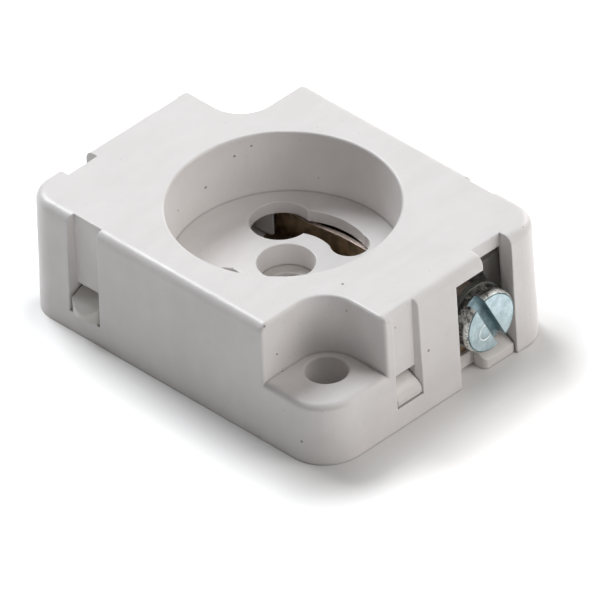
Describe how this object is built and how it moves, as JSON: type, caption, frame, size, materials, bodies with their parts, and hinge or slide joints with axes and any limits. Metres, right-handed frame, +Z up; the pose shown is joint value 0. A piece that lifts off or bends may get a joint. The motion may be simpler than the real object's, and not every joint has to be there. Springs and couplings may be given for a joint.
{
  "type": "fluorescent starter socket",
  "caption": "Surface-mounted socket for a twist-in lamp starter: round cup with curved bayonet slots, end screw terminals and corner fixing holes.",
  "frame": {"origin": "centre of the mounting surface, on the axis of the starter cup", "axes": "+X along the longer side, out of one terminal end; +Y along the shorter side; +Z up, out of the cup"},
  "size_m": [0.0406, 0.0314, 0.0133],
  "materials": {
    "cover_plastic": "satin moulded thermoplastic, off-white",
    "base_plastic": "satin moulded thermoplastic, slightly creamier",
    "contact_bronze": "stamped spring bronze, dull",
    "washer_steel": "zinc-plated steel",
    "screw_zinc": "zinc-plated steel, bluish"
  },
  "bodies": {
    "housing": {"cover": "cover_plastic", "base": "base_plastic", "contact_right": "contact_bronze", "contact_left": "contact_bronze"},
    "washer_right": {"screw_washer_right": "washer_steel"},
    "washer_left": {"screw_washer_left": "washer_steel"},
    "screw_right": {"terminal_screw_right": "screw_zinc"},
    "screw_left": {"terminal_screw_left": "screw_zinc"}
  },
  "joints": [
    {"name": "washer_travel_right", "type": "slide", "parent": "housing", "child": "washer_right", "axis": [1, 0, 0], "range_m": [0, 0.0018]},
    {"name": "screw_turn_right", "type": "hinge", "parent": "washer_right", "child": "screw_right", "pos_m": [0.0178, 0.0068, 0.0057], "axis": [1, 0, 0], "range_deg": [0, 1080]},
    {"name": "washer_travel_left", "type": "slide", "parent": "housing", "child": "washer_left", "axis": [-1, 0, 0], "range_m": [0, 0.0018]},
    {"name": "screw_turn_left", "type": "hinge", "parent": "washer_left", "child": "screw_left", "pos_m": [-0.0178, -0.0068, 0.0057], "axis": [-1, 0, 0], "range_deg": [0, 1080]}
  ],
  "couplings": [
    {"joint": "screw_turn_right", "follows": "washer_travel_right", "rad_per_m": 10472},
    {"joint": "screw_turn_left", "follows": "washer_travel_left", "rad_per_m": 10472}
  ]
}
